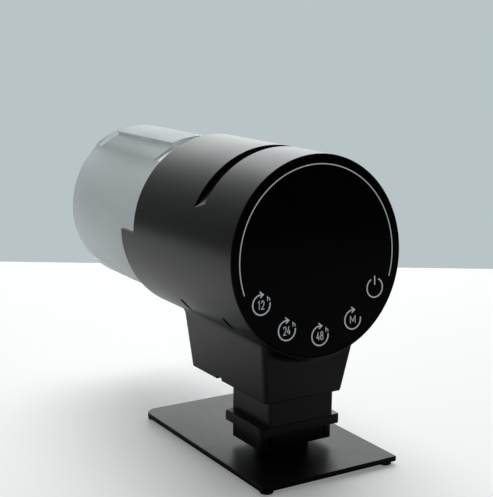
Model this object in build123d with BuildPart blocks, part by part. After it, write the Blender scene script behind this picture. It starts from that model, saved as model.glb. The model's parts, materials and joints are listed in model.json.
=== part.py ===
"""Automatic pet feeder: a cylindrical touch-panel head on a plug-in swivel stand, turning a frosted food barrel with a sliding dispensing door.

Frame: millimetres, +Z up, -Y is the front (touch panel), +Y is the rear (food barrel).
Origin: on the floor under the centre of the base plate. The feeder's long axis lies along Y at the height AXIS_Z.
"""

import os
from math import acos, cos, pi, radians, sin, sqrt, tan

from build123d import *

os.makedirs("parts", exist_ok=True)

# ---------------------------------------------------------------- driving dimensions
AXIS_Z = 66.2            # height of the barrel axis above the floor
FRONT_Y = -27.75         # centre of the panel's front face
FACE_LEAN = 3.84         # degrees the front face leans back

HOUSING_R = 30.4         # outer radius of the head
HOUSING_IR = 28.4        # bore of the head
SKIRT_IR = 28.9          # wider bore where the barrel enters
SKIRT_Y = 20.0           # where that wider bore starts
REAR_UP_Y = 33.45        # rear edge of the upper half
REAR_LOW_Y = 42.65       # rear edge of the lower half, the cradle

FRONT_EDGE_R = 0.3       # rounding of the front rim
PANEL_R = 29.95
PANEL_SEAT_R = 30.0      # recess in the front rim that the panel sits in
PANEL_T = 1.2
FRAME_T = 3.8            # depth of the ring between panel and board
FRAME_IR = 26.4
BOARD_R = 27.5
BOARD_T = 1.6
KEY_R = 23.6             # radius of the circle the touch keys lie on
KEY_ANGLES = (-120.0, -150.0, 180.0, 149.0, 119.0)   # clockwise from the top

NECK_Z = 21.2            # underside of the neck
NECK_HX = 14.2           # half width there
NECK_Y0, NECK_Y1 = -22.28, 22.92
NECK_RISE = 28.4         # height of the tapering neck block
NECK_TAPER = 8.8         # degrees, sides
NECK_FRONT_TAPER = 7.4   # degrees, front
NECK_REAR_TAPER = 1.2    # degrees, rear
NECK_WALL = 1.8
NECK_BLEND = 4.0         # blend between neck and head
BOSS_X, BOSS_Y = 9.9, 14.6          # screw bosses behind the neck insert

GROOVE_Y0, GROOVE_Y1 = -6.4, -1.45
GROOVE_R = 28.7          # floor radius of the groove over the crown
GROOVE_A = 50.0          # half angle over which the floor keeps that radius
GROOVE_END0, GROOVE_END1 = 61.3, 65.0   # where the two sides of the groove run out, from the top
RIB_R, RIB_A = 27.0, 70.0               # rib inside the wall that carries the groove

SLIT_A = 133.6           # where the snap slots sit, from the top
SLIT_L, SLIT_W = 5.4, 2.6           # round-ended slots, long way round the head
SLIT_YS = (-12.8, 12.9)

INSERT_Y = -10.2         # the insert, the socket and the swivel share this centre line
INSERT_HX, INSERT_HY = 12.0, 10.7
COLLAR_Z = 13.1          # top of the socket
COLLAR_T = 3.1
FLANGE_HX, FLANGE_HY = 14.9, 10.6
BLOCK_HX, BLOCK_HY = 13.4, 8.8
BLOCK_Z = 5.0            # underside of the socket block
PLUG_HX, PLUG_HY = 9.0, 7.0
PLUG_FIT = 0.2
PLUG_Z = 6.9
FLOOR_T = 1.6            # floor of the socket

PLATE_Z, PLATE_T = 1.2, 1.5
PLATE_HX, PLATE_HY = 24.7, 37.75
FOOT_R = 2.1
BOSS_R, SPIGOT_R = 8.6, 4.0

BARREL_R, BARREL_IR = 28.5, 26.9
BARREL_Y0, BARREL_Y1 = 26.0, 89.1
BARREL_BACK = 2.0
CHANNEL_A = 42.7         # half angle of the door channel
CHANNEL_Y0 = 33.8        # front end of the channel, just behind the head
CHANNEL_FLOOR = 26.3
CHANNEL_FLOOR_IR = 24.9
DOOR_A = 42.2
DOOR_IR, DOOR_R = 26.4, 27.3
DOOR_HUMP_A, DOOR_HUMP_R = 21.0, 28.65
DOOR_Y0, DOOR_Y1 = 44.2, 88.9
DOOR_END_R, DOOR_END_T = 28.4, 2.6    # raised rim across the rear end of the door
WINDOW_A, WINDOW_Y0, WINDOW_Y1 = 39.2, 35.5, 60.5

# gear train, module 0.6, pressure angle 25 degrees
MODULE, PRESSURE = 0.6, 25.0
N_OUT, N_IDLE, N_PIN = 36, 20, 12
GEAR_Y0, GEAR_T = 9.2, 4.6
SHAFT_R = 2.5
FRONT_PLATE_Y, FRONT_PLATE_T = 6.0, 1.6
BULKHEAD_Y, BULKHEAD_T = 16.6, 2.4
IDLE_C = MODULE * (N_OUT + N_IDLE) / 2
IDLE_X, IDLE_Z = 0.0, IDLE_C
PIN_C = MODULE * (N_IDLE + N_PIN) / 2
PIN_ANGLE = 190.0        # direction from the idler to the pinion, from +X towards +Z
PIN_X = IDLE_X + PIN_C * cos(radians(PIN_ANGLE))
PIN_Z = IDLE_Z + PIN_C * sin(radians(PIN_ANGLE))


def sec(y):
    """Section plane across the head at y, centred on the axis, its own y up."""
    return Plane(origin=(0, y, AXIS_Z), x_dir=(1, 0, 0), z_dir=(0, -1, 0))


def face(d):
    """Plane parallel to the leaning front face, d behind it."""
    s = radians(FACE_LEAN)
    return Plane(
        origin=(0, FRONT_Y + d * cos(s), AXIS_Z - d * sin(s)),
        x_dir=(1, 0, 0),
        z_dir=(0, -cos(s), sin(s)),
    )


def lean(d):
    """The same plane as face(d), facing into the head."""
    s = radians(FACE_LEAN)
    return Plane(origin=face(d).origin, x_dir=(1, 0, 0), z_dir=(0, cos(s), -sin(s)))


def key_point(angle, r=KEY_R):
    """Point on the face, angle clockwise from the top seen from the front."""
    return (r * sin(radians(angle)), r * cos(radians(angle)))


def wedge(a0, a1, reach=60.0):
    """Corner points of a wedge between two angles from the top."""
    mid = (a0 + a1) / 2
    return [
        (0, 0),
        (reach * sin(radians(a0)), reach * cos(radians(a0))),
        (reach * sin(radians(mid)), reach * cos(radians(mid))),
        (reach * sin(radians(a1)), reach * cos(radians(a1))),
    ]


def gear_points(teeth, rotate, thin=0.07, addendum=0.86, dedendum=1.18):
    """Outline of an involute spur gear with a tooth centred on the direction rotate."""
    r = MODULE * teeth / 2
    rb = r * cos(radians(PRESSURE))
    ra, rf = r + addendum * MODULE, r - dedendum * MODULE
    half = pi / (2 * teeth) - thin / r
    a = radians(PRESSURE)
    inv = tan(a) - a

    def flank(rad):
        if rad <= rb:
            return half + inv
        t = acos(rb / rad)
        return half + inv - (tan(t) - t)

    r0 = max(rb, rf)
    radii = [r0 + (ra - r0) * k / 4 for k in range(5)]
    points = []
    for n in range(teeth):
        c = radians(rotate) + 2 * pi * n / teeth
        left = [(rad, c - flank(rad)) for rad in radii]
        right = [(rad, c + flank(rad)) for rad in reversed(radii)]
        run = [(rf, c - flank(r0) - 0.02)] + left + right + [(rf, c + flank(r0) + 0.02)]
        points += [(rad * cos(t), rad * sin(t)) for rad, t in run]
    return points


# ---------------------------------------------------------------- base
with BuildPart() as base_plate:
    with BuildSketch(Plane.XY.offset(PLATE_Z)):
        Rectangle(2 * PLATE_HX, 2 * PLATE_HY)
    extrude(amount=PLATE_T)
    fillet(base_plate.edges().filter_by(Axis.Z).group_by(Axis.Y)[-1], 4.5)
    fillet(base_plate.edges().filter_by(Axis.Z).group_by(Axis.Y)[0], 0.8)
    chamfer(base_plate.faces().sort_by(Axis.Z)[-1].edges(), 0.25)
    with BuildSketch(Plane.XY.offset(PLATE_Z)):
        with Locations((0, INSERT_Y)):
            Circle(1.6)
    extrude(amount=PLATE_T, mode=Mode.SUBTRACT)
    with Locations(Plane.XY.offset(PLATE_Z)):
        with Locations((0, INSERT_Y)):
            Cone(3.05, 1.55, 1.5, align=(Align.CENTER, Align.CENTER, Align.MIN), mode=Mode.SUBTRACT)
base_plate.part.label = "base_plate"
export_step(base_plate.part, "parts/base_plate.step")

with BuildPart() as rubber_feet:
    with BuildSketch(Plane.XY):
        with GridLocations(2 * 21.8, 2 * 35.2, 2, 2):
            Circle(FOOT_R)
    extrude(amount=PLATE_Z)
    fillet(rubber_feet.edges().filter_by(GeomType.CIRCLE).group_by(Axis.Z)[0], 0.3)
rubber_feet.part.label = "rubber_feet"
export_step(rubber_feet.part, "parts/rubber_feet.step")

BOSS_Z = PLATE_Z + PLATE_T
SPIGOT_TOP = BLOCK_Z + FLOOR_T + 0.05
with BuildPart() as swivel_boss:
    with BuildSketch(Plane.XY.offset(BOSS_Z)):
        with Locations((0, INSERT_Y)):
            Circle(BOSS_R)
    extrude(amount=BLOCK_Z - BOSS_Z)
    with BuildSketch(Plane.XY.offset(BLOCK_Z)):
        with Locations((0, INSERT_Y)):
            Circle(SPIGOT_R)
    extrude(amount=SPIGOT_TOP - BLOCK_Z)
    with BuildSketch(Plane.XY.offset(BOSS_Z)):
        with Locations((0, INSERT_Y)):
            Circle(1.6)
    extrude(amount=SPIGOT_TOP - BOSS_Z, mode=Mode.SUBTRACT)
swivel_boss.part.label = "swivel_boss"
export_step(swivel_boss.part, "parts/swivel_boss.step")

with BuildPart() as swivel_washer:
    with BuildSketch(Plane.XY.offset(SPIGOT_TOP)):
        with Locations((0, INSERT_Y)):
            Circle(5.2)
            Circle(1.6, mode=Mode.SUBTRACT)
    extrude(amount=0.6)
swivel_washer.part.label = "swivel_washer"
export_step(swivel_washer.part, "parts/swivel_washer.step")

NUT_Z = SPIGOT_TOP + 0.6
with BuildPart() as swivel_nut:
    with BuildSketch(Plane.XY.offset(NUT_Z)):
        with Locations((0, INSERT_Y)):
            RegularPolygon(2.75, 6, major_radius=False)
            Circle(1.5, mode=Mode.SUBTRACT)
    extrude(amount=2.4)
swivel_nut.part.label = "swivel_nut"
export_step(swivel_nut.part, "parts/swivel_nut.step")

with BuildPart() as swivel_screw:
    with BuildSketch(Plane.XY.offset(PLATE_Z + 0.1)):
        with Locations((0, INSERT_Y)):
            Circle(1.5)
    extrude(amount=NUT_Z + 2.7 - PLATE_Z - 0.1)
    with Locations((0, INSERT_Y, PLATE_Z + 0.1)):
        Cone(2.9, 1.5, 1.4, align=(Align.CENTER, Align.CENTER, Align.MIN))
    with Locations((0, INSERT_Y, PLATE_Z + 0.1)):
        Box(3.0, 0.6, 0.7, align=(Align.CENTER, Align.CENTER, Align.MIN), mode=Mode.SUBTRACT)
swivel_screw.part.label = "swivel_screw"
export_step(swivel_screw.part, "parts/swivel_screw.step")

# ---------------------------------------------------------------- swivelling socket
with BuildPart() as base_socket:
    with BuildSketch(Plane.XY.offset(BLOCK_Z)):
        with Locations((0, INSERT_Y)):
            RectangleRounded(2 * BLOCK_HX, 2 * BLOCK_HY, 1.6)
    extrude(amount=COLLAR_Z - COLLAR_T - BLOCK_Z)
    with BuildSketch(Plane.XY.offset(COLLAR_Z - COLLAR_T)):
        with Locations((0, INSERT_Y)):
            RectangleRounded(2 * FLANGE_HX, 2 * FLANGE_HY, 1.2)
    extrude(amount=COLLAR_T)
    fillet(base_socket.faces().sort_by(Axis.Z)[-1].edges(), 0.45)
    with BuildSketch(Plane.XY.offset(BLOCK_Z + FLOOR_T)):
        with Locations((0, INSERT_Y)):
            Rectangle(2 * (PLUG_HX + PLUG_FIT), 2 * (PLUG_HY + PLUG_FIT))
    extrude(amount=COLLAR_Z - BLOCK_Z - FLOOR_T, mode=Mode.SUBTRACT)
    with BuildSketch(Plane.XY.offset(BLOCK_Z)):
        with Locations((0, INSERT_Y)):
            Circle(SPIGOT_R + 0.06)
    extrude(amount=FLOOR_T, mode=Mode.SUBTRACT)
    # relief slots beside the front corners of the block
    with BuildSketch(Plane.XZ.offset(-(INSERT_Y - BLOCK_HY))):
        with Locations((-10.2, BLOCK_Z + 2.4), (10.2, BLOCK_Z + 2.4)):
            Rectangle(0.8, 3.2)
    extrude(amount=-1.3, mode=Mode.SUBTRACT)
base_socket.part.label = "base_socket"
export_step(base_socket.part, "parts/base_socket.step")

# ---------------------------------------------------------------- head housing
TOP_Z = NECK_Z + NECK_RISE
ngx = NECK_RISE * tan(radians(NECK_TAPER))
ngf = NECK_RISE * tan(radians(NECK_FRONT_TAPER))
ngr = NECK_RISE * tan(radians(NECK_REAR_TAPER))
with BuildPart() as housing_shell:
    with BuildSketch(sec(FRONT_Y - 4)):
        Circle(HOUSING_R)
    extrude(amount=-(REAR_LOW_Y - FRONT_Y + 4))
    # tapering neck block under the cylinder
    with BuildSketch(Plane.XY.offset(NECK_Z)):
        with Locations((0, (NECK_Y0 + NECK_Y1) / 2)):
            RectangleRounded(2 * NECK_HX, NECK_Y1 - NECK_Y0, 1.4)
    with BuildSketch(Plane.XY.offset(TOP_Z)):
        with Locations((0, (NECK_Y0 - ngf + NECK_Y1 + ngr) / 2)):
            RectangleRounded(2 * (NECK_HX + ngx), NECK_Y1 - NECK_Y0 + ngf + ngr, 1.4)
    loft()
    junction = (
        housing_shell.edges()
        .filter_by_position(Axis.Z, AXIS_Z - HOUSING_R, AXIS_Z - 14, (False, False))
        .filter_by_position(Axis.Y, -26.6, 26.0, (False, False))
    )
    fillet(junction, NECK_BLEND)
    fillet(housing_shell.faces().sort_by(Axis.Z)[0].edges(), 0.4)
    # the upper half stops short of the lower cradle
    with Locations((0, REAR_UP_Y, AXIS_Z - 0.6)):
        Box(70, 20, 40, align=(Align.CENTER, Align.MIN, Align.MIN), mode=Mode.SUBTRACT)
    # softened rear rims
    rear_rims = (
        housing_shell.faces().filter_by(Plane.XZ).filter_by_position(Axis.Y, REAR_UP_Y - 1, REAR_LOW_Y + 1).edges()
    )
    fillet(rear_rims.filter_by(GeomType.CIRCLE), 0.3)
    # front end, leaning back, with a recess for the panel
    split(bisect_by=lean(0), keep=Keep.TOP)
    fillet(housing_shell.faces().sort_by(Axis.Y)[0].edges(), FRONT_EDGE_R)
    with BuildSketch(face(-1)):
        Circle(PANEL_SEAT_R)
    extrude(amount=-(PANEL_T + 1), mode=Mode.SUBTRACT)
    # bores
    with BuildSketch(sec(FRONT_Y - 6)):
        Circle(HOUSING_IR)
    extrude(amount=-(SKIRT_Y - FRONT_Y + 6), mode=Mode.SUBTRACT)
    with BuildSketch(sec(SKIRT_Y)):
        Circle(SKIRT_IR)
    extrude(amount=-(REAR_LOW_Y - SKIRT_Y + 1), mode=Mode.SUBTRACT)
    # hollow of the neck
    with BuildSketch(Plane.XY.offset(NECK_Z)):
        with Locations((0, (NECK_Y0 + NECK_Y1) / 2)):
            Rectangle(2 * (NECK_HX - NECK_WALL), NECK_Y1 - NECK_Y0 - 2 * NECK_WALL)
    with BuildSketch(Plane.XY.offset(TOP_Z)):
        with Locations((0, (NECK_Y0 - ngf * 0.5 + 15.5) / 2)):
            Rectangle(2 * (NECK_HX + ngx * 0.6 - NECK_WALL), 15.5 - NECK_Y0 + ngf * 0.5 - 2 * NECK_WALL)
    loft(mode=Mode.SUBTRACT)
    # straight seat for the neck insert
    with BuildSketch(Plane.XY.offset(NECK_Z)):
        with Locations((0, (NECK_Y0 + NECK_Y1) / 2)):
            Rectangle(2 * (NECK_HX - NECK_WALL), NECK_Y1 - NECK_Y0 - 2 * NECK_WALL)
    extrude(amount=2.0, mode=Mode.SUBTRACT)
    # decorative groove over the top, with a rib behind it, running out at the sides
    with BuildSketch(sec(GROOVE_Y0 - 1.6)):
        Circle(HOUSING_IR + 0.3)
        Circle(RIB_R, mode=Mode.SUBTRACT)
        Polygon(*wedge(-RIB_A, RIB_A), align=None, mode=Mode.INTERSECT)
    extrude(amount=-(GROOVE_Y1 - GROOVE_Y0 + 3.2))
    for y, end in ((GROOVE_Y0, GROOVE_END0), (GROOVE_Y1, GROOVE_END1)):
        with BuildSketch(sec(y)):
            with BuildLine():
                floor_end = Vector(GROOVE_R * sin(radians(GROOVE_A)), GROOVE_R * cos(radians(GROOVE_A)))
                surface = Vector(HOUSING_R * sin(radians(end)), HOUSING_R * cos(radians(end)))
                out = floor_end + (surface - floor_end) * 1.4
                ThreePointArc((-floor_end.X, floor_end.Y), (0, GROOVE_R), (floor_end.X, floor_end.Y))
                Polyline(
                    (floor_end.X, floor_end.Y), (out.X, out.Y), (out.X, HOUSING_R + 4),
                    (-out.X, HOUSING_R + 4), (-out.X, out.Y), (-floor_end.X, floor_end.Y),
                )
            make_face()
    loft(ruled=True, mode=Mode.SUBTRACT)
    # snap slits beside the neck
    for y in SLIT_YS:
        for a in (radians(SLIT_A), radians(-SLIT_A)):
            with BuildSketch(
                Plane(
                    origin=((HOUSING_IR - 1.5) * sin(a), y, AXIS_Z + (HOUSING_IR - 1.5) * cos(a)),
                    x_dir=(cos(a), 0, -sin(a)),
                    z_dir=(sin(a), 0, cos(a)),
                )
            ):
                SlotOverall(SLIT_L, SLIT_W)
            extrude(amount=6.0, mode=Mode.SUBTRACT)
    # release notch across the bottom rim
    with Locations((0, 5.1, NECK_Z)):
        Box(40, 3.3, 1.1, align=(Align.CENTER, Align.CENTER, Align.MIN), mode=Mode.SUBTRACT)
    # charging inlet opening on the right-hand side
    with BuildSketch(Plane(origin=(HOUSING_IR - 3, -8.0, AXIS_Z - 4), x_dir=(0, 1, 0), z_dir=(1, 0, 0))):
        SlotOverall(9.6, 3.8)
    extrude(amount=8, mode=Mode.SUBTRACT)
    # screw bosses for the neck insert
    with BuildSketch(Plane.XY.offset(NECK_Z + 2.0)):
        with Locations((-BOSS_X, BOSS_Y), (BOSS_X, BOSS_Y)):
            Circle(2.8)
    extrude(amount=8.0)
    with BuildSketch(Plane.XY.offset(NECK_Z + 2.0)):
        with Locations((-BOSS_X, BOSS_Y), (BOSS_X, BOSS_Y)):
            Circle(0.95)
    extrude(amount=7.0, mode=Mode.SUBTRACT)
housing_shell.part.label = "housing_shell"
export_step(housing_shell.part, "parts/housing_shell.step")
print("housing", housing_shell.part.volume, len(housing_shell.part.solids()), housing_shell.part.bounding_box())

# ---------------------------------------------------------------- neck insert that plugs into the stand
with BuildPart() as neck_insert:
    with BuildSketch(Plane.XY.offset(NECK_Z)):
        with Locations((0, (NECK_Y0 + NECK_Y1) / 2)):
            Rectangle(2 * (NECK_HX - NECK_WALL) - 0.2, NECK_Y1 - NECK_Y0 - 2 * NECK_WALL - 0.2)
    extrude(amount=2.0)
    with Locations((0, 5.1, NECK_Z)):
        Box(40, 3.3, 1.1, align=(Align.CENTER, Align.CENTER, Align.MIN), mode=Mode.SUBTRACT)
    with BuildSketch(Plane.XY.offset(COLLAR_Z)):
        with Locations((0, INSERT_Y)):
            RectangleRounded(2 * INSERT_HX, 2 * INSERT_HY, 0.9)
    extrude(amount=NECK_Z - COLLAR_Z)
    with BuildSketch(Plane.XY.offset(PLUG_Z)):
        with Locations((0, INSERT_Y)):
            Rectangle(2 * PLUG_HX, 2 * PLUG_HY)
    extrude(amount=COLLAR_Z - PLUG_Z)
    chamfer(neck_insert.faces().sort_by(Axis.Z)[0].edges(), 0.4)
    with BuildSketch(Plane.XY.offset(PLUG_Z)):
        with Locations((0, INSERT_Y)):
            Rectangle(2 * (PLUG_HX - 1.7), 2 * (PLUG_HY - 1.5))
    extrude(amount=NECK_Z - PLUG_Z - 2.0, mode=Mode.SUBTRACT)
    with BuildSketch(Plane.XY.offset(NECK_Z)):
        with Locations((-BOSS_X, BOSS_Y), (BOSS_X, BOSS_Y)):
            Circle(1.15)
    extrude(amount=2.0, mode=Mode.SUBTRACT)
neck_insert.part.label = "neck_insert"
export_step(neck_insert.part, "parts/neck_insert.step")

with BuildPart() as neck_screws:
    with BuildSketch(Plane.XY.offset(NECK_Z - 1.2)):
        with Locations((-BOSS_X, BOSS_Y), (BOSS_X, BOSS_Y)):
            Circle(1.9)
    extrude(amount=1.2)
    with BuildSketch(Plane.XY.offset(NECK_Z - 1.2)):
        with Locations((-BOSS_X, BOSS_Y), (BOSS_X, BOSS_Y)):
            Rectangle(2.2, 0.5)
            Rectangle(0.5, 2.2)
    extrude(amount=0.6, mode=Mode.SUBTRACT)
    with BuildSketch(Plane.XY.offset(NECK_Z)):
        with Locations((-BOSS_X, BOSS_Y), (BOSS_X, BOSS_Y)):
            Circle(0.95)
    extrude(amount=7.5)
neck_screws.part.label = "neck_screws"
export_step(neck_screws.part, "parts/neck_screws.step")

# ---------------------------------------------------------------- panel and electronics
with BuildPart() as touch_panel:
    with BuildSketch(face(0)):
        Circle(PANEL_R)
    extrude(amount=-PANEL_T)
    chamfer(touch_panel.edges().filter_by(GeomType.CIRCLE).group_by(Axis.Y)[0], 0.3)
touch_panel.part.label = "touch_panel"
export_step(touch_panel.part, "parts/touch_panel.step")

with BuildPart() as panel_frame:
    with BuildSketch(sec(FRONT_Y - 4)):
        Circle(HOUSING_IR - 0.05)
        Circle(FRAME_IR, mode=Mode.SUBTRACT)
    extrude(amount=-16)
    split(bisect_by=lean(PANEL_T), keep=Keep.TOP)
    split(bisect_by=lean(PANEL_T + FRAME_T), keep=Keep.BOTTOM)
panel_frame.part.label = "panel_frame"
export_step(panel_frame.part, "parts/panel_frame.step")

SCREW_A = (0.0, 90.0, -90.0)
with BuildPart() as control_board:
    with BuildSketch(face(PANEL_T + FRAME_T)):
        Circle(BOARD_R)
        with Locations(*[key_point(a, 25.0) for a in SCREW_A]):
            Circle(0.85, mode=Mode.SUBTRACT)
    extrude(amount=-BOARD_T)
control_board.part.label = "control_board"
export_step(control_board.part, "parts/control_board.step")

with BuildPart() as touch_springs:
    with BuildSketch(face(PANEL_T)):
        with Locations(*[key_point(a, 23.3) for a in KEY_ANGLES]):
            Circle(2.4)
            Circle(1.8, mode=Mode.SUBTRACT)
    extrude(amount=-FRAME_T)
touch_springs.part.label = "touch_springs"
export_step(touch_springs.part, "parts/touch_springs.step")

with BuildPart() as indicator_leds:
    with BuildSketch(face(PANEL_T + FRAME_T - 0.9)):
        with Locations(*[key_point(a, 23.3) for a in KEY_ANGLES]):
            Rectangle(1.6, 1.6)
    extrude(amount=-0.9)
indicator_leds.part.label = "indicator_leds"
export_step(indicator_leds.part, "parts/indicator_leds.step")

with BuildPart() as control_chips:
    with BuildSketch(face(PANEL_T + FRAME_T + BOARD_T)):
        with Locations((6, 4)):
            Rectangle(7, 7)
        with Locations((-9, 2)):
            Rectangle(5, 4)
        with Locations((0, -18)):
            Rectangle(9, 4)
    extrude(amount=-1.2)
control_chips.part.label = "control_chips"
export_step(control_chips.part, "parts/control_chips.step")

# ---------------------------------------------------------------- gearbox plates
with BuildPart() as gearbox_plate:
    with BuildSketch(sec(FRONT_PLATE_Y)):
        Circle(HOUSING_IR - 0.1)
        with Locations((0, -HOUSING_R - 20)):
            Rectangle(80, 60, mode=Mode.SUBTRACT)
    extrude(amount=-FRONT_PLATE_T)
    # pillars to the bulkhead
    with BuildSketch(sec(FRONT_PLATE_Y + FRONT_PLATE_T)):
        with Locations((-19.5, -6), (19.5, -6), (18, 17)):
            Circle(2.6)
    extrude(amount=-(BULKHEAD_Y - FRONT_PLATE_Y - FRONT_PLATE_T))
    with BuildSketch(sec(FRONT_PLATE_Y)):
        Circle(SHAFT_R + 0.06)
        with Locations((IDLE_X, IDLE_Z)):
            Circle(1.0)
        with Locations((PIN_X, PIN_Z)):
            Circle(2.4)
        with Locations((-19.5, -6), (19.5, -6), (18, 17)):
            Circle(0.95)
    extrude(amount=-(BULKHEAD_Y - FRONT_PLATE_Y), mode=Mode.SUBTRACT)
gearbox_plate.part.label = "gearbox_plate"
export_step(gearbox_plate.part, "parts/gearbox_plate.step")

with BuildPart() as bulkhead:
    with BuildSketch(sec(BULKHEAD_Y)):
        Circle(HOUSING_IR - 0.1)
    extrude(amount=-BULKHEAD_T)
    with BuildSketch(sec(BULKHEAD_Y)):
        Circle(4.0)
        with Locations((IDLE_X, IDLE_Z)):
            Circle(1.0)
        with Locations((-19.5, -6), (19.5, -6), (18, 17)):
            Circle(1.15)
    extrude(amount=-BULKHEAD_T, mode=Mode.SUBTRACT)
bulkhead.part.label = "bulkhead"
export_step(bulkhead.part, "parts/bulkhead.step")

with BuildPart() as gearbox_screws:
    with BuildSketch(sec(BULKHEAD_Y + BULKHEAD_T)):
        with Locations((-19.5, -6), (19.5, -6), (18, 17)):
            Circle(1.9)
    extrude(amount=-1.1)
    with BuildSketch(sec(BULKHEAD_Y + BULKHEAD_T)):
        with Locations((-19.5, -6), (19.5, -6), (18, 17)):
            Circle(0.95)
    extrude(amount=9.0)
gearbox_screws.part.label = "gearbox_screws"
export_step(gearbox_screws.part, "parts/gearbox_screws.step")

with BuildPart() as board_screws:
    with BuildSketch(face(PANEL_T + FRAME_T + BOARD_T)):
        with Locations(*[key_point(a, 25.0) for a in SCREW_A]):
            Circle(1.5)
    extrude(amount=-0.9)
    with BuildSketch(face(PANEL_T + FRAME_T)):
        with Locations(*[key_point(a, 25.0) for a in SCREW_A]):
            Circle(0.85)
    extrude(amount=-BOARD_T)
board_screws.part.label = "board_screws"
export_step(board_screws.part, "parts/board_screws.step")

with BuildPart() as idler_pin:
    with BuildSketch(sec(FRONT_PLATE_Y)):
        with Locations((IDLE_X, IDLE_Z)):
            Circle(1.0)
    extrude(amount=-(BULKHEAD_Y + BULKHEAD_T - FRONT_PLATE_Y))
idler_pin.part.label = "idler_pin"
export_step(idler_pin.part, "parts/idler_pin.step")

with BuildPart() as shaft_bush:
    with BuildSketch(sec(BULKHEAD_Y)):
        Circle(4.0)
    extrude(amount=-BULKHEAD_T)
    with BuildSketch(sec(BULKHEAD_Y + BULKHEAD_T)):
        Circle(5.0)
    extrude(amount=-0.6)
    with BuildSketch(sec(BULKHEAD_Y)):
        Circle(SHAFT_R + 0.05)
    extrude(amount=-(BULKHEAD_T + 0.6), mode=Mode.SUBTRACT)
shaft_bush.part.label = "shaft_bush"
export_step(shaft_bush.part, "parts/shaft_bush.step")

# ---------------------------------------------------------------- motor and gears
with BuildPart() as motor:
    with BuildSketch(sec(FRONT_PLATE_Y - 17.0)):
        with Locations((PIN_X, PIN_Z)):
            Circle(6.6)
            Rectangle(14, 10.0, mode=Mode.INTERSECT)
    extrude(amount=-17.0)
    with BuildSketch(sec(FRONT_PLATE_Y)):
        with Locations((PIN_X, PIN_Z)):
            Circle(2.3)
    extrude(amount=-1.2)
    with BuildSketch(sec(FRONT_PLATE_Y - 3.0)):
        with Locations((PIN_X, PIN_Z)):
            Circle(1.05)
    extrude(amount=-4.2, mode=Mode.SUBTRACT)
    with BuildSketch(sec(FRONT_PLATE_Y - 18.2)):
        with Locations((PIN_X - 3, PIN_Z), (PIN_X + 3, PIN_Z)):
            Rectangle(0.5, 1.6)
    extrude(amount=-1.2)
motor.part.label = "motor"
export_step(motor.part, "parts/motor.step")

# tooth phases: the output gear has a tooth towards the idler, the idler a gap towards it
IDLE_PHASE = -90.0 + 180.0 / N_IDLE
to_pin = PIN_ANGLE
k = round((to_pin - IDLE_PHASE) * N_IDLE / 360.0)
offset_teeth = (to_pin - IDLE_PHASE) * N_IDLE / 360.0 - k     # where the tooth sits across the mesh line, in pitches
PIN_PHASE = to_pin + 180.0 + (0.5 + offset_teeth) * 360.0 / N_PIN

with BuildPart() as motor_pinion:
    with BuildSketch(sec(GEAR_Y0)):
        with Locations((PIN_X, PIN_Z)):
            Polygon(*gear_points(N_PIN, PIN_PHASE), align=None)
    extrude(amount=-GEAR_T)
    with BuildSketch(sec(FRONT_PLATE_Y - 2.8)):
        with Locations((PIN_X, PIN_Z)):
            Circle(1.0)
    extrude(amount=-(GEAR_Y0 + GEAR_T + 0.6 - FRONT_PLATE_Y + 2.8))
motor_pinion.part.label = "motor_pinion"
export_step(motor_pinion.part, "parts/motor_pinion.step")

with BuildPart() as idler_gear:
    with BuildSketch(sec(GEAR_Y0)):
        with Locations((IDLE_X, IDLE_Z)):
            Polygon(*gear_points(N_IDLE, IDLE_PHASE), align=None)
    extrude(amount=-GEAR_T)
    with BuildSketch(sec(FRONT_PLATE_Y + FRONT_PLATE_T + 0.3)):
        with Locations((IDLE_X, IDLE_Z)):
            Circle(2.2)
    extrude(amount=-(BULKHEAD_Y - FRONT_PLATE_Y - FRONT_PLATE_T - 0.6))
    with BuildSketch(sec(FRONT_PLATE_Y)):
        with Locations((IDLE_X, IDLE_Z)):
            Circle(1.05)
    extrude(amount=-14, mode=Mode.SUBTRACT)
idler_gear.part.label = "idler_gear"
export_step(idler_gear.part, "parts/idler_gear.step")

SHAFT_Y0, SHAFT_Y1 = FRONT_PLATE_Y - 1.0, 27.0
with BuildPart() as output_shaft:
    with BuildSketch(sec(SHAFT_Y0)):
        Circle(SHAFT_R)
    extrude(amount=-(SHAFT_Y1 - SHAFT_Y0))
    with Locations((0, 21.0, AXIS_Z + 2.0)):
        Box(8, 10, 2, align=(Align.CENTER, Align.MIN, Align.MIN), mode=Mode.SUBTRACT)
output_shaft.part.label = "output_shaft"
export_step(output_shaft.part, "parts/output_shaft.step")

with BuildPart() as output_gear:
    with BuildSketch(sec(GEAR_Y0)):
        Polygon(*gear_points(N_OUT, 90.0), align=None)
    extrude(amount=-GEAR_T)
    with BuildSketch(sec(FRONT_PLATE_Y + FRONT_PLATE_T + 0.3)):
        Circle(4.6)
    extrude(amount=-(BULKHEAD_Y - FRONT_PLATE_Y - FRONT_PLATE_T - 0.6))
    with BuildSketch(sec(FRONT_PLATE_Y)):
        Circle(SHAFT_R)
    extrude(amount=-14, mode=Mode.SUBTRACT)
output_gear.part.label = "output_gear"
export_step(output_gear.part, "parts/output_gear.step")

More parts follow.
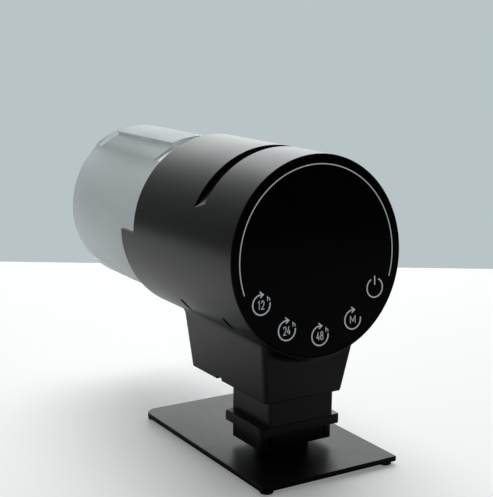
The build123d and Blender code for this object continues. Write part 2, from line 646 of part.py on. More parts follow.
# ---------------------------------------------------------------- drive disc that carries the barrel
DISC_Y = 22.4
with BuildPart() as drive_disc:
    with BuildSketch(sec(DISC_Y)):
        Circle(28.2)
    extrude(amount=-(BARREL_Y0 - DISC_Y))
    with BuildSketch(sec(BARREL_Y0)):
        Circle(BARREL_IR - 0.1)
        Circle(BARREL_IR - 2.4, mode=Mode.SUBTRACT)
    extrude(amount=-5.0)
    with BuildSketch(sec(BARREL_Y0)):
        Circle(5.5)
    extrude(amount=-2.0)
    # groove for the grip ring
    with BuildSketch(sec(28.0)):
        Circle(BARREL_IR)
        Circle(BARREL_IR - 1.2, mode=Mode.SUBTRACT)
    extrude(amount=-1.4, mode=Mode.SUBTRACT)
    # keyed bore, closed at the rear
    with BuildSketch(sec(DISC_Y)):
        Circle(SHAFT_R + 0.0)
        with Locations((0, 3.0)):
            Rectangle(8, 2.0, mode=Mode.SUBTRACT)
    extrude(amount=-(SHAFT_Y1 - DISC_Y), mode=Mode.SUBTRACT)
drive_disc.part.label = "drive_disc"
export_step(drive_disc.part, "parts/drive_disc.step")

with BuildPart() as felt_seal:
    with BuildSketch(sec(BULKHEAD_Y + BULKHEAD_T)):
        Circle(12.0)
        Circle(9.0, mode=Mode.SUBTRACT)
    extrude(amount=-(DISC_Y - BULKHEAD_Y - BULKHEAD_T - 0.1))
felt_seal.part.label = "felt_seal"
export_step(felt_seal.part, "parts/felt_seal.step")

with BuildPart() as grip_oring:
    with BuildSketch(sec(28.0)):
        Circle(BARREL_IR - 0.04)
        Circle(BARREL_IR - 1.2, mode=Mode.SUBTRACT)
    extrude(amount=-1.4)
grip_oring.part.label = "grip_oring"
export_step(grip_oring.part, "parts/grip_oring.step")

# ---------------------------------------------------------------- food barrel and its sliding door
with BuildPart() as food_barrel:
    with BuildSketch(Plane.YZ):
        with BuildLine():
            Polyline((BARREL_Y0, AXIS_Z), (BARREL_Y0, AXIS_Z + BARREL_R), (BARREL_Y1 - 3.2, AXIS_Z + BARREL_R))
            RadiusArc((BARREL_Y1 - 3.2, AXIS_Z + BARREL_R), (BARREL_Y1, AXIS_Z + BARREL_R - 3.2), 3.2)
            Polyline((BARREL_Y1, AXIS_Z + BARREL_R - 3.2), (BARREL_Y1, AXIS_Z), (BARREL_Y0, AXIS_Z))
        make_face()
    revolve(axis=Axis((0, 0, AXIS_Z), (0, 1, 0)), revolution_arc=360)
    with BuildSketch(sec(BARREL_Y0)):
        Circle(BARREL_IR)
    extrude(amount=-(BARREL_Y1 - BARREL_BACK - BARREL_Y0), mode=Mode.SUBTRACT)
    # thicker strip under the door channel
    with BuildSketch(sec(CHANNEL_Y0 - 2)):
        Circle(BARREL_R - 0.4)
        Circle(CHANNEL_FLOOR_IR, mode=Mode.SUBTRACT)
        Polygon(*wedge(-CHANNEL_A - 3, CHANNEL_A + 3), align=None, mode=Mode.INTERSECT)
    extrude(amount=-(BARREL_Y1 - 1 - CHANNEL_Y0 + 2))
    # channel, undercut below two lips
    with BuildSketch(sec(CHANNEL_Y0)):
        Circle(DOOR_R + 0.1)
        Circle(CHANNEL_FLOOR, mode=Mode.SUBTRACT)
        Polygon(*wedge(-CHANNEL_A, CHANNEL_A), align=None, mode=Mode.INTERSECT)
    extrude(amount=-60, mode=Mode.SUBTRACT)
    with BuildSketch(sec(CHANNEL_Y0)):
        Circle(40)
        Circle(DOOR_R, mode=Mode.SUBTRACT)
        Polygon(*wedge(-CHANNEL_A + 2.2, CHANNEL_A - 2.2), align=None, mode=Mode.INTERSECT)
    extrude(amount=-60, mode=Mode.SUBTRACT)
    # dispensing window through the channel floor
    with BuildSketch(sec(WINDOW_Y0)):
        Circle(40)
        Circle(18, mode=Mode.SUBTRACT)
        Polygon(*wedge(-WINDOW_A, WINDOW_A), align=None, mode=Mode.INTERSECT)
    extrude(amount=-(WINDOW_Y1 - WINDOW_Y0), mode=Mode.SUBTRACT)
food_barrel.part.label = "food_barrel"
export_step(food_barrel.part, "parts/food_barrel.step")

with BuildPart() as slide_door:
    with BuildSketch(sec(DOOR_Y0)):
        Circle(DOOR_R)
        Circle(DOOR_IR, mode=Mode.SUBTRACT)
        Polygon(*wedge(-DOOR_A, DOOR_A), align=None, mode=Mode.INTERSECT)
    extrude(amount=-(DOOR_Y1 - DOOR_Y0))
    with BuildSketch(sec(DOOR_Y0)):
        Circle(DOOR_HUMP_R)
        Circle(DOOR_IR + 0.2, mode=Mode.SUBTRACT)
        Polygon(*wedge(-DOOR_HUMP_A, DOOR_HUMP_A), align=None, mode=Mode.INTERSECT)
    extrude(amount=-(DOOR_Y1 - DOOR_END_T - DOOR_Y0))
    with BuildSketch(sec(DOOR_Y1 - DOOR_END_T)):
        Circle(DOOR_END_R)
        Circle(DOOR_IR + 0.2, mode=Mode.SUBTRACT)
        Polygon(*wedge(-DOOR_A + 3.0, DOOR_A - 3.0), align=None, mode=Mode.INTERSECT)
    extrude(amount=-DOOR_END_T)
slide_door.part.label = "slide_door"
export_step(slide_door.part, "parts/slide_door.step")

# ---------------------------------------------------------------- power
with BuildPart() as battery_tray:
    with BuildSketch(Plane.XY.offset(AXIS_Z - 19.2)):
        with Locations((0, -7.1)):
            Rectangle(37, 26.2)
    extrude(amount=9.0)
    with BuildSketch(Plane.XY.offset(AXIS_Z - 18.0)):
        with Locations((0, -7.2)):
            Rectangle(34.6, 23.6)
    extrude(amount=9.0, mode=Mode.SUBTRACT)
    # posts under the charging board
    with BuildSketch(Plane.XY.offset(AXIS_Z - 10.2)):
        with Locations((17.9, -12.6), (17.9, -3.4)):
            Rectangle(1.2, 2.4)
    extrude(amount=3.57)
battery_tray.part.label = "battery_tray"
export_step(battery_tray.part, "parts/battery_tray.step")

with BuildPart() as battery_cell:
    with BuildSketch(Plane.XY.offset(AXIS_Z - 18.0)):
        with Locations((0, -7.2)):
            RectangleRounded(34.2, 23.2, 1.5)
    extrude(amount=8.2)
    fillet(battery_cell.faces().sort_by(Axis.Z)[-1].edges(), 0.8)
battery_cell.part.label = "battery_cell"
export_step(battery_cell.part, "parts/battery_cell.step")

with BuildPart() as usb_socket:
    with BuildSketch(Plane(origin=(HOUSING_IR - 6.2, -8.0, AXIS_Z - 4), x_dir=(0, 1, 0), z_dir=(1, 0, 0))):
        SlotOverall(8.94, 3.26)
    extrude(amount=7.3)
    with BuildSketch(Plane(origin=(HOUSING_IR - 5.2, -8.0, AXIS_Z - 4), x_dir=(0, 1, 0), z_dir=(1, 0, 0))):
        SlotOverall(8.34, 2.66)
    extrude(amount=7.3, mode=Mode.SUBTRACT)
    with BuildSketch(Plane(origin=(HOUSING_IR - 5.2, -8.0, AXIS_Z - 4), x_dir=(0, 1, 0), z_dir=(1, 0, 0))):
        Rectangle(6.6, 0.7)
    extrude(amount=5.4)
usb_socket.part.label = "usb_socket"
export_step(usb_socket.part, "parts/usb_socket.step")

with BuildPart() as charge_board:
    with BuildSketch(Plane.XY.offset(AXIS_Z - 4 - 1.63 - 1.0)):
        with Locations((19.8, -8.0)):
            Rectangle(12.4, 12)
    extrude(amount=1.0)
charge_board.part.label = "charge_board"
export_step(charge_board.part, "parts/charge_board.step")
# ---------------------------------------------------------------- internal leads
def board_back(z):
    """Where the back of the control board stands at the height z."""
    return FRONT_Y + (PANEL_T + FRAME_T + BOARD_T) / cos(radians(FACE_LEAN)) + (z - AXIS_Z) * tan(radians(FACE_LEAN))


with BuildPart() as motor_leads:
    for side in (-1, 1):
        x0, z0 = PIN_X + 3 * side, AXIS_Z + PIN_Z
        x1, z1 = x0 - 4.0, z0 - 3.0
        with BuildLine() as run:
            Polyline((x0, FRONT_PLATE_Y - 18.25, z0), (x0, FRONT_PLATE_Y - 20.4, z0), (x1, board_back(z1) + 2.2, z1), (x1, board_back(z1) + 0.1, z1))
        with BuildSketch(Plane(origin=run.line @ 0, z_dir=run.line % 0)):
            Circle(0.5)
        sweep(path=run.line, transition=Transition.ROUND)
motor_leads.part.label = "motor_leads"
export_step(motor_leads.part, "parts/motor_leads.step")

with BuildPart() as battery_leads:
    for side in (-1, 1):
        x0, z0 = 1.2 * side - 8.0, AXIS_Z - 11.8
        z1 = z0 + 7.0
        with BuildLine() as run:
            Polyline((x0, -15.0, AXIS_Z - 9.75), (x0, -15.0, z1), (x0, board_back(z1) + 0.1, z1))
        with BuildSketch(Plane(origin=run.line @ 0, z_dir=run.line % 0)):
            Circle(0.5)
        sweep(path=run.line, transition=Transition.ROUND)
battery_leads.part.label = "battery_leads"
export_step(battery_leads.part, "parts/battery_leads.step")

with BuildPart() as charge_leads:
    for side in (-1, 1):
        x0, z0 = 17.0 + 1.2 * side, AXIS_Z - 6.13
        with BuildLine() as run:
            Polyline((x0, -14.05, z0), (x0, board_back(z0) + 0.1, z0))
        with BuildSketch(Plane(origin=run.line @ 0, z_dir=run.line % 0)):
            Circle(0.45)
        sweep(path=run.line)
charge_leads.part.label = "charge_leads"
export_step(charge_leads.part, "parts/charge_leads.step")
print("done")
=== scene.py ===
"""Automatic pet feeder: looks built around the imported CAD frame."""
import json
from math import acos, atan2, cos, degrees, pi, radians, sin, sqrt, tan

import bmesh
import bpy
from mathutils import Matrix, Vector


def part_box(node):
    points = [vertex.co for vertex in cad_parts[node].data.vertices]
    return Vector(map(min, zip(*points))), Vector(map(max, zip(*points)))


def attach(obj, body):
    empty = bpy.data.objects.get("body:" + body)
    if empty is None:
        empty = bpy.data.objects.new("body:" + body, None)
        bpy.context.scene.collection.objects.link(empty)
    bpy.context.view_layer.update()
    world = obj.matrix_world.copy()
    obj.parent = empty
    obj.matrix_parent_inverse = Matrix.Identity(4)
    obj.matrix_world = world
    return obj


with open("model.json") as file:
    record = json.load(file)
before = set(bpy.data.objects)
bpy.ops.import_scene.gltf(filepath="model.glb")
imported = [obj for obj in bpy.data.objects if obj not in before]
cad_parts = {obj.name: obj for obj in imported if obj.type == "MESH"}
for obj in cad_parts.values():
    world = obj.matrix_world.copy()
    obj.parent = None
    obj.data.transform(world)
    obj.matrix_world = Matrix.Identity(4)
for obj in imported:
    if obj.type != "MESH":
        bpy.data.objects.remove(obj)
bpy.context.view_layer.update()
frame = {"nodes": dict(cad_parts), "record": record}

nodes = frame["nodes"]
MM = 0.001

# ---------------------------------------------------------------- key places, from the CAD frame
lo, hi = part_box("food_barrel")
AX = (lo.z + hi.z) / 2                      # height of the long axis
FRONT_Y = -27.75 * MM
LEAN = radians(3.84)
KEY_ANGLES = (-120.0, -150.0, 180.0, 149.0, 119.0)


def face_point(u, v, d):
    """Metres: u to the right and v up on the leaning front face, d behind it, all in mm."""
    return Vector((
        u * MM,
        FRONT_Y + (v * sin(LEAN) + d * cos(LEAN)) * MM,
        AX + (v * cos(LEAN) - d * sin(LEAN)) * MM,
    ))


# ---------------------------------------------------------------- camera
def make_camera():
    az, pitch, roll, f = radians(32.182), radians(11.70), radians(0.927), 1123.6
    d = Vector((sin(az) * cos(pitch), cos(az) * cos(pitch), -sin(pitch)))
    r = Vector((cos(az), -sin(az), 0.0))
    u = r.cross(d)
    right = r * cos(roll) + u * sin(roll)
    up = -r * sin(roll) + u * cos(roll)
    place = Vector((-190.094 * MM, (-261.896 - 27.75) * MM, 69.125 * MM + AX))
    cam = bpy.data.cameras.new("camera")
    cam.sensor_width = 36.0
    cam.lens = f / 497.0 * 36.0
    cam.clip_start, cam.clip_end = 0.01, 20.0
    ob = bpy.data.objects.new("camera", cam)
    bpy.context.scene.collection.objects.link(ob)
    m = Matrix((right, up, -d)).transposed().to_4x4()
    m.translation = place
    ob.matrix_world = m
    bpy.context.scene.camera = ob


make_camera()


# ---------------------------------------------------------------- material kit
def new_material(name):
    m = bpy.data.materials.new(name)
    m.use_nodes = True
    nt = m.node_tree
    nt.nodes.clear()
    out = nt.nodes.new("ShaderNodeOutputMaterial")
    bsdf = nt.nodes.new("ShaderNodeBsdfPrincipled")
    nt.links.new(bsdf.outputs[0], out.inputs[0])
    coord = nt.nodes.new("ShaderNodeTexCoord")
    return m, nt, bsdf, coord.outputs["Object"]


def noise(nt, coord, scale, detail=3.0, rough=0.5, stretch=None):
    if stretch:
        mp = nt.nodes.new("ShaderNodeMapping")
        mp.inputs["Scale"].default_value = stretch
        nt.links.new(coord, mp.inputs["Vector"])
        coord = mp.outputs[0]
    n = nt.nodes.new("ShaderNodeTexNoise")
    n.inputs["Scale"].default_value = scale
    n.inputs["Detail"].default_value = detail
    n.inputs["Roughness"].default_value = rough
    nt.links.new(coord, n.inputs["Vector"])
    return n.outputs["Fac"]


def ramp(nt, fac, stops):
    r = nt.nodes.new("ShaderNodeValToRGB")
    e = r.color_ramp.elements
    e[0].position, e[0].color = stops[0][0], (*stops[0][1], 1)
    e[1].position, e[1].color = stops[-1][0], (*stops[-1][1], 1)
    for p, c in stops[1:-1]:
        k = e.new(p)
        k.color = (*c, 1)
    nt.links.new(fac, r.inputs[0])
    return r.outputs[0]


def spread(nt, fac, lo_value, hi_value, lo_in=0.3, hi_in=0.7):
    r = nt.nodes.new("ShaderNodeMapRange")
    r.inputs["From Min"].default_value = lo_in
    r.inputs["From Max"].default_value = hi_in
    r.inputs["To Min"].default_value = lo_value
    r.inputs["To Max"].default_value = hi_value
    nt.links.new(fac, r.inputs["Value"])
    return r.outputs[0]


def bump(nt, bsdf, height, strength, distance):
    b = nt.nodes.new("ShaderNodeBump")
    b.inputs["Strength"].default_value = strength
    b.inputs["Distance"].default_value = distance
    nt.links.new(height, b.inputs["Height"])
    nt.links.new(b.outputs[0], bsdf.inputs["Normal"])


def plastic(name, dark, light, rough, grain=2600.0, strength=0.25, cloud=60.0, ior=1.5, coat=0.0, spread_r=0.04):
    """Moulded plastic: faint cloudy colour, uneven gloss and a fine spark-eroded grain."""
    m, nt, bsdf, co = new_material(name)
    nt.links.new(ramp(nt, noise(nt, co, cloud, 4.0), [(0.3, dark), (0.7, light)]), bsdf.inputs["Base Color"])
    nt.links.new(spread(nt, noise(nt, co, cloud * 3, 5.0), rough - spread_r, rough + spread_r), bsdf.inputs["Roughness"])
    bsdf.inputs["IOR"].default_value = ior
    bsdf.inputs["Coat Weight"].default_value = coat
    bump(nt, bsdf, noise(nt, co, grain, 2.0, 0.6), strength, 0.00002)
    return m


def metal(name, colour, rough, stretch=(1, 1, 1), scale=900.0):
    """Machined or plated metal with fine drawn lines."""
    m, nt, bsdf, co = new_material(name)
    dark = tuple(c * 0.86 for c in colour)
    fac = noise(nt, co, scale, 4.0, 0.6, stretch)
    nt.links.new(ramp(nt, fac, [(0.3, dark), (0.7, colour)]), bsdf.inputs["Base Color"])
    nt.links.new(spread(nt, fac, rough - 0.07, rough + 0.07), bsdf.inputs["Roughness"])
    bsdf.inputs["Metallic"].default_value = 1.0
    bump(nt, bsdf, fac, 0.2, 0.00001)
    return m


mats = {}
mats["satin_black"] = plastic("satin_black", (0.0085, 0.0088, 0.0092), (0.0115, 0.0118, 0.0122), 0.30, strength=0.10, cloud=25.0, spread_r=0.015)
mats["stand_black"] = plastic("stand_black", (0.009, 0.0092, 0.0095), (0.013, 0.0132, 0.0136), 0.34, grain=2200.0, strength=0.12, cloud=30.0, spread_r=0.02)
mats["inner_black"] = plastic("inner_black", (0.02, 0.02, 0.022), (0.028, 0.028, 0.03), 0.5, grain=1800.0, strength=0.4)
mats["gear_plastic"] = plastic("gear_plastic", (0.72, 0.70, 0.62), (0.80, 0.78, 0.70), 0.38, grain=1500.0, strength=0.15)
mats["chip_black"] = plastic("chip_black", (0.012, 0.012, 0.013), (0.02, 0.02, 0.02), 0.55, grain=3500.0, strength=0.5)
mats["foot_rubber"] = plastic("foot_rubber", (0.012, 0.012, 0.012), (0.022, 0.022, 0.022), 0.72, grain=1600.0, strength=0.6)
mats["seal_rubber"] = plastic("seal_rubber", (0.015, 0.015, 0.016), (0.025, 0.025, 0.026), 0.6, grain=1800.0, strength=0.5)
mats["lead_red"] = plastic("lead_red", (0.35, 0.012, 0.01), (0.45, 0.02, 0.016), 0.42, grain=900.0, strength=0.2)
mats["steel"] = metal("steel", (0.62, 0.62, 0.63), 0.28)
mats["black_screw"] = metal("black_screw", (0.10, 0.10, 0.105), 0.34)
mats["brass"] = metal("brass", (0.72, 0.52, 0.24), 0.26, (1, 4, 1))
mats["spring_steel"] = metal("spring_steel", (0.68, 0.64, 0.52), 0.25, (1, 8, 1))


def make_plate():
    """Powder-coated sheet with a fine even orange peel."""
    m, nt, bsdf, co = new_material("plate_black")
    nt.links.new(ramp(nt, noise(nt, co, 40.0, 4.0), [(0.3, (0.008, 0.0082, 0.0086)), (0.7, (0.0115, 0.0118, 0.0122))]), bsdf.inputs["Base Color"])
    nt.links.new(spread(nt, noise(nt, co, 220.0, 5.0), 0.33, 0.37), bsdf.inputs["Roughness"])
    bsdf.inputs["Specular IOR Level"].default_value = 0.20
    bsdf.inputs["IOR"].default_value = 1.5
    bump(nt, bsdf, noise(nt, co, 1400.0, 2.0, 0.4), 0.10, 0.00002)
    return m


def make_panel():
    """Black glossy touch panel: deep black under a polished face with faint handling haze."""
    m, nt, bsdf, co = new_material("panel_black")
    nt.links.new(ramp(nt, noise(nt, co, 50.0, 3.0), [(0.3, (0.0008, 0.001, 0.0014)), (0.7, (0.0012, 0.0014, 0.0019))]), bsdf.inputs["Base Color"])
    nt.links.new(spread(nt, noise(nt, co, 90.0, 6.0), 0.07, 0.13), bsdf.inputs["Roughness"])
    bsdf.inputs["IOR"].default_value = 1.30
    return m


def make_frosted(name, tint, rough, weight, alpha_grain=900.0, shine=0.3):
    """Frosted clear plastic, lightly textured inside and out."""
    m, nt, bsdf, co = new_material(name)
    nt.links.new(ramp(nt, noise(nt, co, 70.0, 4.0), [(0.3, tuple(c * 0.97 for c in tint)), (0.7, tint)]), bsdf.inputs["Base Color"])
    nt.links.new(spread(nt, noise(nt, co, 260.0, 5.0), rough - 0.04, rough + 0.05), bsdf.inputs["Roughness"])
    bsdf.inputs["Transmission Weight"].default_value = weight
    bsdf.inputs["IOR"].default_value = 1.42
    bsdf.inputs["Specular IOR Level"].default_value = shine
    bump(nt, bsdf, noise(nt, co, alpha_grain, 1.0, 0.5), 0.04, 0.00001)
    return m


def make_board():
    """Green solder mask with copper tracks showing faintly through it."""
    m, nt, bsdf, co = new_material("board_green")
    v = nt.nodes.new("ShaderNodeTexVoronoi")
    v.inputs["Scale"].default_value = 420.0
    v.distance = "MANHATTAN"
    v.feature = "F1"
    nt.links.new(co, v.inputs["Vector"])
    nt.links.new(ramp(nt, v.outputs["Distance"], [(0.25, (0.008, 0.10, 0.035)), (0.35, (0.015, 0.16, 0.06)), (0.6, (0.012, 0.13, 0.05))]), bsdf.inputs["Base Color"])
    nt.links.new(spread(nt, noise(nt, co, 400.0), 0.2, 0.34), bsdf.inputs["Roughness"])
    bump(nt, bsdf, v.outputs["Distance"], 0.2, 0.00002)
    return m


def make_foil():
    """Crinkled foil wrap of the cell."""
    m, nt, bsdf, co = new_material("cell_wrap")
    fac = noise(nt, co, 260.0, 6.0, 0.6)
    nt.links.new(ramp(nt, fac, [(0.3, (0.32, 0.34, 0.37)), (0.7, (0.5, 0.52, 0.55))]), bsdf.inputs["Base Color"])
    nt.links.new(spread(nt, fac, 0.25, 0.4), bsdf.inputs["Roughness"])
    bsdf.inputs["Metallic"].default_value = 0.85
    bump(nt, bsdf, fac, 0.4, 0.0001)
    return m


def make_felt():
    m, nt, bsdf, co = new_material("felt")
    fac = noise(nt, co, 1800.0, 6.0, 0.7)
    nt.links.new(ramp(nt, fac, [(0.3, (0.36, 0.35, 0.31)), (0.7, (0.5, 0.49, 0.44))]), bsdf.inputs["Base Color"])
    nt.links.new(spread(nt, fac, 0.85, 1.0), bsdf.inputs["Roughness"])
    bsdf.inputs["Sheen Weight"].default_value = 0.5
    bump(nt, bsdf, fac, 0.8, 0.0001)
    return m


def make_led():
    m, nt, bsdf, co = new_material("led_white")
    nt.links.new(ramp(nt, noise(nt, co, 900.0), [(0.3, (0.8, 0.8, 0.7)), (0.7, (0.9, 0.9, 0.82))]), bsdf.inputs["Base Color"])
    nt.links.new(spread(nt, noise(nt, co, 700.0), 0.12, 0.2), bsdf.inputs["Roughness"])
    return m


def make_ink():
    """White screen-printed ink lit a little from behind."""
    m, nt, bsdf, co = new_material("white_ink")
    nt.links.new(ramp(nt, noise(nt, co, 1500.0, 3.0), [(0.3, (0.46, 0.48, 0.49)), (0.7, (0.56, 0.58, 0.59))]), bsdf.inputs["Base Color"])
    nt.links.new(spread(nt, noise(nt, co, 900.0), 0.4, 0.55), bsdf.inputs["Roughness"])
    bsdf.inputs["Emission Color"].default_value = (0.85, 0.93, 1.0, 1)
    bsdf.inputs["Emission Strength"].default_value = 0.27
    return m


mats["plate_black"] = make_plate()
mats["panel_black"] = make_panel()
mats["frosted"] = make_frosted("frosted", (0.86, 0.90, 0.905), 0.46, 0.86)
# painted shade: the slide door gets a darker tint than the barrel's frosted plastic, standing in for the shade seen
# through its top
mats["frosted_door_painted_shade"] = make_frosted("frosted_door_painted_shade", (0.62, 0.67, 0.675), 0.50, 0.80, shine=0.12)
mats["board_green"] = make_board()
mats["cell_wrap"] = make_foil()
mats["felt"] = make_felt()
mats["led_white"] = make_led()
mats["white_ink"] = make_ink()

slot_of = {s["node"]: s["material_slot"] for s in frame["record"]["subparts"]}
for name, ob in nodes.items():
    # the slide door takes the darker, painted-shade copy of the frosted plastic
    m = mats["frosted_door_painted_shade"] if name == "slide_door" else mats[slot_of[name]]
    if ob.data.materials:
        for i in range(len(ob.data.materials)):
            ob.data.materials[i] = m
    else:
        ob.data.materials.append(m)


# ---------------------------------------------------------------- printed marks on the panel
def link(ob):
    bpy.context.scene.collection.objects.link(ob)
    return ob


def ribbon(bm, pts, width, closed=False, lift=0.035, sink=0.02):
    """A flat printed stroke along pts (mm, on the face), a little proud of the glass."""
    n = len(pts)
    left, right = [], []
    for i, p in enumerate(pts):
        a = Vector(pts[(i - 1) % n]) if (closed or i > 0) else None
        b = Vector(pts[(i + 1) % n]) if (closed or i < n - 1) else None
        q = Vector(p)
        t1 = (q - a).normalized() if a is not None else (b - q).normalized()
        t2 = (b - q).normalized() if b is not None else t1
        t = (t1 + t2).normalized()
        nrm = Vector((-t.y, t.x)) * (width / 2) / max(0.42, t.dot(t1))
        left.append(q + nrm)
        right.append(q - nrm)
    rows = []
    for l, r in zip(left, right):
        rows.append([
            bm.verts.new(face_point(l.x, l.y, -lift)), bm.verts.new(face_point(r.x, r.y, -lift)),
            bm.verts.new(face_point(r.x, r.y, sink)), bm.verts.new(face_point(l.x, l.y, sink)),
        ])
    count = n if closed else n - 1
    for i in range(count):
        a, b = rows[i], rows[(i + 1) % n]
        for k in range(4):
            bm.faces.new((a[k], a[(k + 1) % 4], b[(k + 1) % 4], b[k]))
    if not closed:
        bm.faces.new(rows[0][::-1])
        bm.faces.new(rows[-1])


def patch(bm, pts, lift=0.035, sink=0.02):
    """A flat printed area with the outline pts (mm, on the face)."""
    top = [bm.verts.new(face_point(x, y, -lift)) for x, y in pts]
    low = [bm.verts.new(face_point(x, y, sink)) for x, y in pts]
    bm.faces.new(top)
    bm.faces.new(low[::-1])
    for i in range(len(pts)):
        j = (i + 1) % len(pts)
        bm.faces.new((top[j], top[i], low[i], low[j]))


def arc(cx, cy, r, a0, a1, steps):
    """Points clockwise from a0 to a1, in degrees from straight up."""
    return [(cx + r * sin(radians(a0 + (a1 - a0) * k / steps)), cy + r * cos(radians(a0 + (a1 - a0) * k / steps))) for k in range(steps + 1)]


def finish_mesh(bm, name, material, body):
    bmesh.ops.recalc_face_normals(bm, faces=bm.faces)
    me = bpy.data.meshes.new(name)
    bm.to_mesh(me)
    bm.free()
    me.materials.append(material)
    ob = link(bpy.data.objects.new(name, me))
    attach(ob, body)
    return ob


# strokes of the generic digits and letters, in a cell one wide and one high
def oval(cx, cy, rx, ry):
    return [(cx + rx * sin(2 * pi * k / 28), cy + ry * cos(2 * pi * k / 28)) for k in range(28)]


GLYPHS = {
    "1": (0.72, [([(0.0, 0.80), (0.45, 1.0), (0.45, 0.0)], False)]),
    "2": (1.0, [([(0.02, 0.72), (0.05, 0.84), (0.16, 0.94), (0.34, 0.995), (0.56, 0.99), (0.78, 0.92), (0.90, 0.80),
                  (0.91, 0.66), (0.80, 0.50), (0.0, 0.0), (0.98, 0.0)], False)]),
    "4": (1.0, [([(0.58, 1.0), (0.0, 0.28), (1.0, 0.28)], False), ([(0.70, 0.58), (0.70, 0.0)], False)]),
    "8": (1.0, [(oval(0.5, 0.755, 0.40, 0.245), True), (oval(0.5, 0.27, 0.48, 0.27), True)]),
    "M": (2.1, [([(0.0, 0.0), (0.0, 1.0), (0.5, 0.30), (1.0, 1.0), (1.0, 0.0)], False)]),
    "h": (0.95, [([(0.0, 1.0), (0.0, 0.0)], False),
                 ([(0.0, 0.44), (0.18, 0.58), (0.45, 0.64), (0.75, 0.60), (0.95, 0.44), (1.0, 0.28), (1.0, 0.0)], False)]),
}


def lettering(bm, text, cx, cy, height, cell, gap, stroke):
    """Generic digits or a letter in thin printed strokes, centred on (cx, cy)."""
    widths = [GLYPHS[c][0] * cell for c in text]
    x = cx - (sum(widths) + gap * (len(text) - 1)) / 2
    for c, w in zip(text, widths):
        for pts, closed in GLYPHS[c][1]:
            ribbon(bm, [(x + px * w, cy + (py - 0.5) * height) for px, py in pts], stroke, closed)
        x += w + gap


KEY_R = 23.6
RING_R, STROKE = 2.95, 0.42
marks = bmesh.new()
labels = ("12", "24", "48", "M", None)
for label, ang in zip(labels, KEY_ANGLES):
    cx, cy = KEY_R * sin(radians(ang)), KEY_R * cos(radians(ang))
    if label is None:
        ribbon(marks, arc(cx, cy, RING_R, 28, 332, 44), STROKE)
        ribbon(marks, [(cx, cy + RING_R + 0.75), (cx, cy + 0.9)], STROKE)
        continue
    a0 = 83 if label != "M" else 80
    ribbon(marks, arc(cx, cy, RING_R, a0, 369, 48), STROKE)
    ribbon(marks, [(cx - 0.50, cy + RING_R + 0.88), (cx + 0.68, cy + RING_R - 0.02), (cx - 0.32, cy + RING_R - 0.84)], 0.40)
    if label == "M":
        lettering(marks, "M", cx + 0.05, cy - 0.05, 2.15, 0.86, 0.0, 0.27)
    else:
        lettering(marks, label, cx - 0.02, cy - 0.06, 2.45, 0.96, 0.38, 0.25)
        lettering(marks, "h", cx + 2.5, cy + 1.62, 1.5, 0.82, 0.0, 0.23)
ring_marks = finish_mesh(marks, "key_symbols", mats["white_ink"], "head")

bm = bmesh.new()
ribbon(bm, arc(0, 0, 27.45, -108.0, 107.5, 180), 0.32)
for a in (-108.0, 107.5):
    x, y = 27.45 * sin(radians(a)), 27.45 * cos(radians(a))
    patch(bm, [(x + 0.16 * cos(t * pi / 8), y + 0.16 * sin(t * pi / 8)) for t in range(16)], 0.036, 0.02)
arc_mark = finish_mesh(bm, "status_arc", mats["white_ink"], "head")

# ---------------------------------------------------------------- stage: floor, backdrop
def plane(name, pts, material):
    me = bpy.data.meshes.new(name)
    me.from_pydata(pts, [], [tuple(range(len(pts)))])
    me.materials.append(material)
    ob = link(bpy.data.objects.new(name, me))
    return ob


floor_pts = [(0.9 * cos(t * pi / 48), 0.9 * sin(t * pi / 48), 0.0) for t in range(96)]
# the floor ends a short way behind the feeder, across the camera's direction
azc = radians(32.182)
fd = Vector((sin(azc), cos(azc)))
floor_pts = [p for p in floor_pts if p[0] * fd.x + p[1] * fd.y < 0.268]


def make_floor():
    """Pale floor; its colour seen by bounce rays is painted darker in front and paler behind, so its bounce on to the
    feeder is a painted reflection gradient, strong behind and weak in front.
    """
    m, nt, bsdf, co = new_material("floor")
    sep = nt.nodes.new("ShaderNodeVectorMath")
    sep.operation = "DOT_PRODUCT"
    sep.inputs[1].default_value = FLOOR_DIR
    nt.links.new(co, sep.inputs[0])
    # painted bounce: the floor colour for non-camera rays runs dark in front to pale behind and paints the feeder's
    # reflections
    painted_bounce = spread(nt, sep.outputs["Value"], FLOOR_FRONT, FLOOR_BACK, FLOOR_A, FLOOR_B)
    pale = ramp(nt, noise(nt, co, 3.0, 4.0), [(0.3, (0.835, 0.845, 0.84)), (0.7, (0.85, 0.86, 0.855))])
    path = nt.nodes.new("ShaderNodeLightPath")
    mix = nt.nodes.new("ShaderNodeMix")
    mix.data_type = "RGBA"
    nt.links.new(path.outputs["Is Camera Ray"], mix.inputs["Factor"])
    nt.links.new(painted_bounce, mix.inputs["A"])
    nt.links.new(pale, mix.inputs["B"])
    nt.links.new(mix.outputs["Result"], bsdf.inputs["Base Color"])
    bsdf.inputs["Roughness"].default_value = 0.6
    bsdf.inputs["Specular IOR Level"].default_value = 0.2
    # the sweep's own soft glow, seen directly only
    bsdf.inputs["Emission Color"].default_value = (0.97, 1.0, 0.985, 1)
    nt.links.new(spread(nt, path.outputs["Is Camera Ray"], 0.0, 0.22, 0.0, 1.0), bsdf.inputs["Emission Strength"])
    return m


# painted bounce gradient: the floor colour seen by the feeder runs from FLOOR_FRONT in front to FLOOR_BACK behind
FLOOR_DIR = (-0.35, 0.94, 0.0)
FLOOR_FRONT, FLOOR_BACK, FLOOR_A, FLOOR_B = 0.17, 0.82, -0.10, 0.14
plane("floor", floor_pts, make_floor())

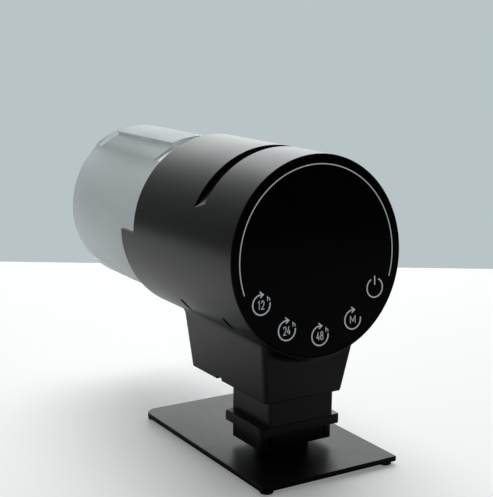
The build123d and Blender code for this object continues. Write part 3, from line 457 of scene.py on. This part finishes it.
# ---------------------------------------------------------------- world: soft studio surround
world = bpy.data.worlds.new("studio")
bpy.context.scene.world = world
world.use_nodes = True
nt = world.node_tree
nt.nodes.clear()
out = nt.nodes.new("ShaderNodeOutputWorld")
bg = nt.nodes.new("ShaderNodeBackground")
tc = nt.nodes.new("ShaderNodeTexCoord")
dot = nt.nodes.new("ShaderNodeVectorMath")
dot.operation = "DOT_PRODUCT"
b = Vector((0.45, 0.80, 0.36)).normalized()
dot.inputs[1].default_value = b
nt.links.new(tc.outputs["Generated"], dot.inputs[0])
mr = nt.nodes.new("ShaderNodeMapRange")
mr.inputs["From Min"].default_value = -1.0
mr.inputs["From Max"].default_value = 1.0
nt.links.new(dot.outputs["Value"], mr.inputs["Value"])
cr = nt.nodes.new("ShaderNodeValToRGB")
cr.color_ramp.interpolation = "B_SPLINE"


def level(v):
    return (v * 0.97, v, v * 1.01, 1)


SC = 3.0        # the ramp holds light levels divided by this
stops = [(0.0, 0.02), (0.45, 0.03), (0.62, 0.075), (0.72, 0.12), (0.80, 0.18), (0.87, 0.30), (0.93, 0.80), (1.0, 2.6)]
el = cr.color_ramp.elements
el[0].position, el[0].color = stops[0][0], level(stops[0][1] / SC)
el[1].position, el[1].color = stops[-1][0], level(stops[-1][1] / SC)
for p, v in stops[1:-1]:
    e = el.new(p)
    e.color = level(v / SC)
nt.links.new(mr.outputs[0], cr.inputs[0])
lp = nt.nodes.new("ShaderNodeLightPath")
mix = nt.nodes.new("ShaderNodeMix")
mix.data_type = "RGBA"
nt.links.new(lp.outputs["Is Camera Ray"], mix.inputs["Factor"])
nt.links.new(cr.outputs[0], mix.inputs["A"])
mix.inputs["B"].default_value = (0.487 / SC, 0.552 / SC, 0.565 / SC, 1)
nt.links.new(mix.outputs["Result"], bg.inputs["Color"])
bg.inputs["Strength"].default_value = SC
nt.links.new(bg.outputs[0], out.inputs[0])


# ---------------------------------------------------------------- lights
def area(name, place, target, size, power, colour=(1, 1, 1)):
    li = bpy.data.lights.new(name, "AREA")
    li.shape = "RECTANGLE"
    li.size, li.size_y = size
    li.energy = power
    li.color = colour
    ob = link(bpy.data.objects.new(name, li))
    ob.location = place
    ob.rotation_euler = (Vector(target) - Vector(place)).to_track_quat("-Z", "Y").to_euler()
    return ob


area("overhead", (0.22, 0.40, 1.0), (0, 0, 0), (0.8, 0.8), 7.4, (1.0, 1.0, 1.0))

bpy.context.scene.view_settings.view_transform = "Standard"
